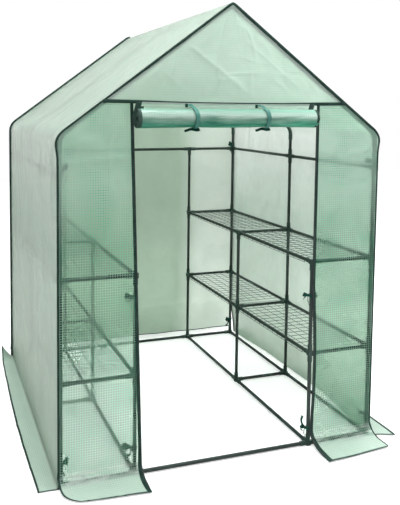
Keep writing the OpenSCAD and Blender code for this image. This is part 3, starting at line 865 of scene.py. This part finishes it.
def make_front_panels():
    for side, word in ((-1, "left"), (1, "right")):

        def panel(u, v, side=side):
            return place_front_panel(side, u, v)

        piece = sheet(f"front_{word}_film", 34, 150, panel, FILM_T)
        finish_piece(piece, "front_film", FRONT_FILM, f"front_{word}_panel", f"front_{word}_flap")
        # The zip tape down the inner edge, its teeth, and the hem round the flap
        tape = sheet(
            f"{word}_zip_tape", 4, 150, laid_on(panel, panel_share(side, ZIP_W), lambda u, v: v), 0.0030
        )
        finish_piece(tape, "tape", TAPE, f"{word}_door_tape")
        teeth_share = panel_share(side, 0.004)
        teeth = sheet(
            f"{word}_zip_teeth", 1, 260,
            laid_on(panel, lambda u, v: teeth_share(u, v) - 0.002, lambda u, v: 0.02 + 0.94 * v), 0.0046,
        )
        teeth = finish_piece(teeth, "tape", ZIP_TEETH)
        front_hem = sheet(
            f"{word}_flap_hem", 40, 1, laid_on(panel, lambda u, v: u, lambda u, v: v * 0.0042), 0.0022
        )
        side_hem = sheet(
            f"{word}_flap_side_hem", 1, 30,
            laid_on(panel, lambda u, v: 1 - u * 0.016, lambda u, v: v * FLAP_SHARE), 0.0022,
        )
        hem = finish_piece(join(f"{word}_flap_hem", [front_hem, side_hem]), "tape", HEM)


def header_line(x):
    """Height of the tape over the doorway, which sags a little in its middle."""
    return HEADER_Z + 0.003 - 0.007 * np.cos(np.clip(x - 0.08, -0.6, 0.6) * math.pi / 1.2)


# Folds across the gable: each has a start and an end by x and z, and a height
GABLE_FOLDS = [
    ((-0.200, 1.745), (0.093, 1.531), 0.0065),
    ((-0.313, 1.643), (-0.150, 1.505), 0.0035),
    ((0.060, 1.760), (0.330, 1.560), 0.0028),
]


def end_half(height, inset=0.0):
    """Half the width of an end of the cover at a height, up to its peak."""
    return np.minimum(half_width(height) - inset, (PEAK_Z + 0.004 - height) / math.tan(SLOPE) + 0.001)


def place_gable(u, v):
    """The triangle of film over the doorway, from the header tape to the ridge."""
    base_z = HEADER_Z - 0.002
    height = base_z + (1 - (1 - v) ** 1.15) * (PEAK_Z - base_z)
    half = end_half(height)
    x = (u - 0.5) * 2 * half
    z = height + (header_line(x) - HEADER_Z) * (1 - ease(height, HEADER_Z, HEADER_Z + 0.1))
    free = ease(half - np.abs(x), 0.01, 0.10) * ease(height, HEADER_Z + 0.01, HEADER_Z + 0.10)
    angle = np.arctan2(x, PEAK_Z + 0.10 - z)
    radius = np.hypot(x, PEAK_Z + 0.10 - z)
    fan = 0.0030 * crease(angle * 0.55, radius * 0.25, 0.07, 41) * free
    out = 0.004 * soft_noise(x, z, 0.16, 43) * free + fan
    out = out + 0.0025 * crease(*turned(x, z * 2.2, 4), 0.13, 45) * free * (1 - ease(z, 1.60, 1.75))
    for start, end, high in GABLE_FOLDS:
        out = np.abs(out) + high * fold_line(x, z, start, end, 0.012) * free
    y = FRONT_Y - np.abs(out)
    return columns(x, y, z), columns(x, z)


def place_header_tape(u, v):
    """The tape along the foot of the gable, pulled a little thinner in the middle."""
    x = (u - 0.5) * 2 * (float(half_width(HEADER_Z)) - 0.009)
    wide = HEADER_W * (0.83 + 0.32 * ease(np.abs(x), 0.15, 0.45))
    z = header_line(x) + (v - 0.5) * wide
    y = FRONT_Y - 0.0012 + 0 * x
    return columns(x, y, z), columns(x, v * wide)


def make_gable():
    piece = sheet("front_gable_film", 170, 84, place_gable, FILM_T)
    finish_piece(piece, "front_film", GABLE_FILM, "front_gable_cover")
    tape = sheet("header_tape", 110, 3, place_header_tape, 0.0034)
    finish_piece(tape, "tape", TAPE, "door_header_tape")


def place_back(u, v):
    """The back wall, which leans out to the ground at its foot."""
    height = GROUND_GAP + v * (PEAK_Z - GROUND_GAP)
    half = end_half(height, 0.0008)
    x = (u - 0.5) * 2 * half
    rails = off_lines(height, (LOWER_Z, UPPER_Z, TOP_Z))
    rails = np.where(height > TOP_Z, 1.0, rails)
    free = off_lines(x, (-POST_X, -DOOR_POST_X, DOOR_POST_X, POST_X)) * rails
    free = free * ease(half - np.abs(x), 0.01, 0.10)
    out = 0.004 * soft_noise(x, height, 0.2, 51) + 0.002 * crease(*turned(x, height * 0.4, 8), 0.12, 53)
    foot = foot_lean(height)
    y = BACK_Y + np.abs(out) * free + foot * (SKIRT_LIMIT - BACK_Y - 0.006)
    y = y + 0.006 * foot * soft_noise(x, height, 0.12, 55)
    x = x + 0.050 * ease(FOOT_Z - height, 0, FOOT_Z) * ease(u, 0.6, 1.0)
    return columns(x, y, height), columns(x, height)


def make_back():
    piece = sheet("back_film", 100, 130, place_back, FILM_T)
    finish_piece(piece, "wall_film", BACK_FILM, "back_wall_cover", "back_ground_flap")
    hem = sheet("back_foot_hem", 100, 1, laid_on(place_back, lambda u, v: u, lambda u, v: v * 0.003), 0.0022)
    finish_piece(hem, "tape", HEM)


# ---- Rolled door, tapes and ribbons ----

ROLL_PITCH = 0.0029
ROLL_TURNS = 9.0
# The strip of the door that hangs between the header tape and the roll
STRIP_SHARE = 0.04
STRIP_MID = -0.012
STRIP_HALF = ZIP_X - 0.002
STRAP_W = 0.017
RIBBON_W = 0.011


def place_roll(u, v):
    """The door film: down from the header tape behind the roll, then round and round inwards."""
    drop = header_line(0.0) - ROLL_Z
    rolled = v >= STRIP_SHARE
    hang = np.clip((STRIP_SHARE - v) / STRIP_SHARE, 0, 1)
    angle = np.clip((v - STRIP_SHARE) / (1 - STRIP_SHARE), 0, 1) * ROLL_TURNS * 2 * math.pi
    radius = ROLL_R - 0.0012 - ROLL_PITCH * angle / (2 * math.pi)
    wander = 0.003 * (1 + soft_noise(angle * 0.05, angle * 0 + 0.3, 0.04, 61))
    x = (u - 0.5) * 2 * np.where(rolled, ROLL_HALF - 0.002 - wander, STRIP_HALF)
    outer = np.exp(-angle / 7.0)
    dent = 0.0022 * (soft_noise(x * 0.5, angle * 0.02, 0.06, 63) - 0.4) * outer
    dent = dent + 0.0012 * (crease(*turned(x * 0.6, angle * 0.03, 20), 0.05, 65) - 0.5) * outer
    pinch = sum(np.exp(-(((x - place) / 0.03) ** 2)) for place in (-STRAP_X, STRAP_X))
    x = x + np.where(rolled, ROLL_MID, ROLL_MID + (STRIP_MID - ROLL_MID) * hang)
    radius = radius + np.minimum(dent, 0.0) - 0.0016 * pinch * outer
    y = ROLL_Y + radius * np.cos(angle)
    z = ROLL_Z - radius * np.sin(angle) - 0.003 * (1 - np.cos(x * 2.4))
    z = np.where(rolled, z, ROLL_Z + hang * (header_line(x) - ROLL_Z))
    y = np.where(rolled, y, ROLL_Y + (ROLL_R - 0.0012) * (1 - 0.02 * hang))
    flat_v = np.where(rolled, -angle * (ROLL_R - ROLL_PITCH * angle / (4 * math.pi)), hang * drop)
    return columns(x, y, z), columns(x, flat_v)


def make_roll():
    piece = sheet("rolled_door_film", 64, 460, place_roll, 0.0010)
    finish_piece(piece, "rolled_film", ROLLED_FILM, "rolled_door")
    for more in (HEM, GABLE_FILM, TAPE):
        piece.data.materials.append(more)
    _, hem, plain, tape = range(4)
    for face in piece.data.polygons:
        middle = face.center
        if middle.z > ROLL_Z + 0.012 and middle.y > ROLL_Y + ROLL_R - 0.003:
            face.material_index = hem if abs(middle.x - STRIP_MID) > STRIP_HALF - 0.027 else plain
        elif ROLL_MID - middle.x > ROLL_HALF - 0.020:
            face.material_index = hem
        elif middle.x - ROLL_MID > ROLL_HALF - 0.012:
            face.material_index = tape


def make_straps():
    """The two straps that hold the roll up: each comes from the header round the roll's front."""
    for word, x in (("left", ROLL_MID - STRAP_X), ("right", ROLL_MID + STRAP_X)):
        radius = ROLL_R + 0.0014
        top = np.array([FRONT_Y - 0.004, float(header_line(x)) - 0.003])
        turn = np.radians(np.linspace(128, 292, 60))
        on_roll = columns(ROLL_Y + radius * np.cos(turn), ROLL_Z + radius * np.sin(turn))
        drop = np.linspace(0, 1, 12)[:, None]
        bow_out = 0.004 * np.sin(math.pi * drop)
        hanging = top + (on_roll[0] - top) * drop - bow_out * np.array([1.0, 0.0])
        section = np.concatenate([hanging[:-1], on_roll])
        along = np.linspace(0, 1, len(section))
        loop = np.column_stack([x - 0.006 + 0.012 * along + 0.002 * np.sin(5 * along), section])
        tangent = unit(np.gradient(loop, axis=0))
        facing = unit(np.cross(np.array([1.0, 0, 0]), tangent))
        band = ribbon(f"{word}_strap_band", loop, facing, STRAP_W, 0.0013, rows=70, across=4)
        height = float(header_line(x))
        tab_path = np.linspace(
            (x - 0.018, FRONT_Y - 0.0075, height - 0.002), (x - 0.018, FRONT_Y - 0.0075, height - 0.017), 8
        )
        tab = ribbon(f"{word}_strap_tab", tab_path, (0, -1, 0), RIBBON_W, 0.0016, rows=8)
        end = np.linspace(0, 1, 24)
        tail_path = np.column_stack([
            x + 0.020 - 0.060 * end,
            ROLL_Y - 0.010 + 0.010 * end,
            ROLL_Z - ROLL_R - 0.0035 - 0.005 * end - 0.0025 * np.sin(end * 8),
        ])
        tail = ribbon(
            f"{word}_strap_tail", tail_path, (0, -0.80, 0.60), lambda v: 0.014 - 0.004 * v, 0.0016, rows=24
        )
        dark = finish_piece(join(f"{word}_strap_ends", [tab, tail]), "ribbon", RIBBON)
        finish_piece(band, "ribbon", STRAP, *(("door_roll_straps",) if word == "left" else ()))


def bow(name, x, y, z, lobes, ends, stands_for=()):
    """A ribbon knotted round a post: a turn round it, a knot, flattened loops and loose ends.

    lobes hold an angle, a length and a twist each, and ends hold an angle, a curl and a length.
    Angles are in degrees, from +x and up.
    """
    outward = math.copysign(1.0, y)
    n = np.array([0.0, outward, 0.0])
    wrap = np.linspace(0, 2 * math.pi, 28)
    ring = TUBE_R + 0.0015
    facing = columns(np.cos(wrap), np.sin(wrap), wrap * 0)
    rise = np.outer(0.003 * np.sin(wrap + x), (0, 0, 1))
    path = np.array([x, y, z]) + ring * facing + rise
    parts = [ribbon("wrap", path, facing, RIBBON_W, 0.0010, rows=28)]
    side = math.copysign(1.0, math.cos(math.radians(lobes[0][0])))
    knot = np.array([x + side * (ring + 0.003), y - outward * 0.003, z])
    turn = np.linspace(0, 2 * math.pi, 16)
    facing = columns(np.cos(turn), np.sin(turn), turn * 0)
    parts.append(ribbon("knot", knot + 0.0045 * facing, facing, 0.009, 0.0012, rows=16))
    for degrees, length, twist in lobes:
        angle, lean = math.radians(degrees), math.radians(twist)
        ahead = np.array([math.cos(angle), 0, math.sin(angle)])
        aside = np.array([-math.sin(angle), 0, math.cos(angle)])
        thick = n * math.cos(lean) + aside * math.sin(lean)
        t = np.linspace(0, 1, 30)
        wide = length * (0.16 + 0.20 * abs(math.sin(lean)))
        wide_by = 0.35 * length
        loop = knot + np.outer(np.sin(math.pi * t), length * ahead - 0.004 * n)
        loop = loop + np.outer(wide * np.sin(2 * math.pi * t), thick)
        facing = unit(np.cross(np.gradient(loop, axis=0), np.cross(ahead, thick)))
        width = lambda v: 0.007 + wide_by * np.sin(math.pi * v)
        parts.append(ribbon("loop", loop, facing, width, 0.0010, rows=30))
    for degrees, curl, length in ends:
        t = np.linspace(0, 1, 26)
        heading = np.radians(degrees + curl * t)
        steps = columns(np.cos(heading), -0.25 * outward * np.cos(3 * t), np.sin(heading))
        steps = steps * length / 25
        end = knot + np.concatenate([np.zeros((1, 3)), np.cumsum(steps[:-1], axis=0)])
        aside = columns(-np.sin(heading), 0 * t, np.cos(heading))
        lean = (0.2 + 1.1 * np.sin(2.5 * t))[:, None]
        facing = unit(np.cos(lean) * n + np.sin(lean) * aside)
        parts.append(ribbon("end", end, facing, RIBBON_W * 0.9, 0.0010, rows=26))
    piece = finish_piece(join(name, parts), "ribbon", RIBBON, *stands_for)


LOW_TIE_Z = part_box("cover_ties")[0].z + 0.007
TOP_TIE_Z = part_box("cover_ties")[1].z - 0.037
# The ties at the doorway: side, height, loops and ends
DOORWAY_TIES = {
    "left_low": (-1, 0.118, ((166, 0.038, 12), (236, 0.036, 72)), ((262, -30, 0.055), (285, 25, 0.040))),
    "left_middle": (-1, 0.737, ((168, 0.030, 30), (205, 0.028, 50)), ((250, 40, 0.050), (280, -30, 0.045))),
    "right_low": (1, 0.080, ((160, 0.022, 25), (205, 0.020, 50)), ((140, -75, 0.060), (255, 30, 0.045))),
    "right_middle": (1, 0.676, ((168, 0.024, 25), (-6, 0.044, 30)), ((200, 30, 0.030), (265, 25, 0.045))),
}


def make_ties():
    """The ribbons inside the cover that tie it to the posts."""
    rng = np.random.default_rng(101)
    stands_for = ("cover_ties",)
    for side, word in ((-1, "left"), (1, "right")):
        inward = 0 if side < 0 else 180
        for y, place in ((-POST_Y, "front"), (POST_Y, "back")):
            for z, level in ((LOW_TIE_Z, "low"), (TOP_TIE_Z, "top")):
                a, b, c, d, e, f = rng.uniform(-1, 1, 6)
                lobes = (
                    (inward + 22 + 14 * a, 0.023, 35 + 20 * b),
                    (inward - 24 + 12 * c, 0.021, 45 + 25 * d),
                )
                ends = (
                    (265 + 20 * e, 45 * f, 0.050 + 0.008 * a),
                    (278 + 18 * b, -40 * c, 0.040 + 0.008 * d),
                )
                bow(f"{place}_{word}_{level}_tie", side * POST_X, y, z, lobes, ends, stands_for)
                stands_for = ()
    for word, (side, z, lobes, ends) in DOORWAY_TIES.items():
        bow(f"doorway_{word}_tie", side * DOOR_POST_X, -POST_Y, z, lobes, ends)


# ---- Wire shelves ----

WIRE_R = 0.0012
WIRE_PITCH = 0.045
CROSS_PITCH = 0.044
WIRE_BEND_R = 0.006


def start_rod(place, along):
    """A small disc, as the first end of a rod that will be drawn out along a direction."""
    pick()
    turn = Vector((0, 0, 1)).rotation_difference(Vector(along)).to_euler()
    bpy.ops.mesh.primitive_circle_add(
        vertices=8, radius=WIRE_R, fill_type="NGON", location=place, rotation=turn
    )
    bpy.ops.object.mode_set(mode="EDIT")
    bpy.ops.mesh.select_all(action="SELECT")


def draw_out(step):
    bpy.ops.mesh.extrude_region_move(TRANSFORM_OT_translate={"value": step})


def quarter_turn(centre):
    """Bends the rod down through a right angle, on its way to +x."""
    bpy.ops.mesh.spin(steps=4, angle=math.pi / 2, center=centre, axis=(0, 1, 0))


def end_rod(name):
    bpy.ops.mesh.select_all(action="SELECT")
    bpy.ops.mesh.normals_make_consistent(inside=False)
    bpy.ops.object.mode_set(mode="OBJECT")
    piece = bpy.context.object
    piece.name = piece.data.name = name
    pick(piece)
    bpy.ops.object.transform_apply(location=True, rotation=True, scale=True)
    return piece


def repeat(piece, count, offset):
    """Copies a rod side by side."""
    rows = piece.modifiers.new("rows", "ARRAY")
    rows.count = count
    rows.use_relative_offset = False
    rows.use_constant_offset = True
    rows.constant_offset_displace = offset
    apply_modifiers(piece)


def make_shelf(name, node_name):
    """The two wire panels of one shelf: long wires, bent cross wires and hem wires."""
    low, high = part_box(node_name)
    middle_x = (low.x + high.x) / 2
    top, foot = high.z - WIRE_R, low.z + WIRE_R
    left, right = low.x + WIRE_R, high.x - WIRE_R
    panel_half = high.y - POST_Y / 2
    panels = []
    for middle_y in (-POST_Y / 2, POST_Y / 2):
        count = int((right - left - 0.02) / WIRE_PITCH) + 1
        start = middle_x - (count - 1) / 2 * WIRE_PITCH
        start_rod((start, middle_y - panel_half, top + WIRE_R), (0, 1, 0))
        draw_out((0, 2 * panel_half, 0))
        long_wires = end_rod("long_wires")
        repeat(long_wires, count, (WIRE_PITCH, 0, 0))
        # Cross wires run up from one hem wire, over the shelf and down to the other
        cross_count = int((2 * panel_half - 2 * WIRE_R) / CROSS_PITCH) + 1
        first = middle_y - (cross_count - 1) / 2 * CROSS_PITCH
        start_rod((left, first, foot), (0, 0, 1))
        draw_out((0, 0, top - WIRE_BEND_R - foot))
        quarter_turn((left + WIRE_BEND_R, first, top - WIRE_BEND_R))
        draw_out((right - left - 2 * WIRE_BEND_R, 0, 0))
        quarter_turn((right - WIRE_BEND_R, first, top - WIRE_BEND_R))
        draw_out((0, 0, foot - top + WIRE_BEND_R))
        cross_wires = end_rod("cross_wires")
        repeat(cross_wires, cross_count, (0, CROSS_PITCH, 0))
        start_rod((left, middle_y - panel_half, foot), (0, 1, 0))
        draw_out((0, 2 * panel_half, 0))
        hem_wires = end_rod("hem_wires")
        repeat(hem_wires, 2, (right - left, 0, 0))
        panels += [long_wires, cross_wires, hem_wires]
    piece = join(name, panels)
    pick(piece)
    bpy.ops.object.shade_smooth_by_angle(angle=math.radians(50))
    finish_piece(piece, "wire", WIRE_COAT, node_name)


def make_shelves():
    for level in ("lower", "upper"):
        for side in ("left", "right"):
            make_shelf(f"{level}_{side}_wire_shelves", f"{level}_{side}_shelves")


make_tunnel()
make_front_panels()
make_gable()
make_back()
make_edge_bindings()
make_roll()
make_straps()
make_ties()
make_shelves()


# ---- Frame finishes ----

FINISHES = {
    POWDER_COAT: (
        "corner_posts", "side_posts", "shelf_posts", "base_rails", "lower_shelf_rails",
        "upper_shelf_rails", "top_rails", "rafters", "ridge_bars",
    ),
    SOCKET_PLASTIC: (
        "base_connectors", "lower_shelf_connectors", "upper_shelf_connectors",
        "top_rail_connectors", "eave_elbows", "ridge_connectors",
    ),
}

for material, names in FINISHES.items():
    for name in names:
        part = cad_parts[name]
        part.data.materials.clear()
        part.data.materials.append(material)


# ---- Floor, light and camera ----


def make_floor():
    pick()
    bpy.ops.mesh.primitive_plane_add(size=20.0, location=(0, 0, 0))
    floor = bpy.context.object
    floor.name = "studio_floor"
    floor.data.materials.append(floor_material())


def make_light(name, place, aim, size, power):
    lamp = bpy.data.lights.new(name, "AREA")
    lamp.shape = "DISK"
    lamp.size = size
    lamp.energy = power
    holder = bpy.data.objects.new(name, lamp)
    bpy.context.scene.collection.objects.link(holder)
    holder.location = place
    holder.rotation_euler = (Vector(aim) - Vector(place)).to_track_quat("-Z", "Y").to_euler()


def make_world(shown, given, front, left, right):
    """A white studio that shows at one strength and lights the object at another.

    It gives less light from the front, where the camera stands, and from the left.
    """
    world = bpy.data.worlds.new("studio")
    world.use_nodes = True
    tree = world.node_tree
    background = tree.nodes["Background"]
    background.inputs["Color"].default_value = WHITE
    seen = node(tree, "ShaderNodeLightPath").outputs["Is Camera Ray"]
    around = node(tree, "ShaderNodeTexCoord").outputs["Generated"]
    way = node(tree, "ShaderNodeSeparateXYZ", Vector=around).outputs
    light = spread(tree, way["Y"], -0.75, -0.05, front, given)
    light = maths(tree, "MULTIPLY", light, spread(tree, way["X"], -0.8, 0.8, left, right))
    light = maths(tree, "MULTIPLY", light, maths(tree, "SUBTRACT", 1.0, seen))
    strength = maths(tree, "ADD", light, maths(tree, "MULTIPLY", seen, shown))
    tree.links.new(strength, background.inputs["Strength"])
    bpy.context.scene.world = world


def make_camera(place, yaw, pitch, roll, focal, centre):
    """A camera placed by its angles, with its focal length and optical centre for a 400 by 505 frame."""
    wide, high, sensor = 400.0, 505.0, 36.0
    forward = Vector((math.sin(yaw) * math.cos(pitch), math.cos(yaw) * math.cos(pitch), -math.sin(pitch)))
    level = Vector((math.cos(yaw), -math.sin(yaw), 0.0))
    above = level.cross(forward)
    right = level * math.cos(roll) + above * math.sin(roll)
    up = above * math.cos(roll) - level * math.sin(roll)
    data = bpy.data.cameras.new("studio_camera")
    data.sensor_fit = "AUTO"
    data.sensor_width = sensor
    data.lens = focal / high * sensor
    data.shift_x = (wide / 2 - centre[0]) / high
    data.shift_y = (centre[1] - high / 2) / high
    camera = bpy.data.objects.new("studio_camera", data)
    bpy.context.scene.collection.objects.link(camera)
    camera.matrix_world = Matrix.Translation(place) @ Matrix((right, up, -forward)).transposed().to_4x4()
    bpy.context.scene.camera = camera


make_floor()
make_world(shown=1.0, given=1.0, front=0.45, left=0.74, right=1.30)
make_light("key", (3.6, 0.4, 3.0), aim=(0.4, 0, 1.0), size=3.0, power=125)
make_light("top", (-0.4, -0.8, 5.0), aim=(0, 0, 0.8), size=3.0, power=300)
make_camera(
    (-1.174, -3.129, 1.484), yaw=0.314, pitch=0.071, roll=0.006, focal=650.3, centre=(140.0, 155.0)
)
bpy.context.scene.view_settings.view_transform = "Standard"
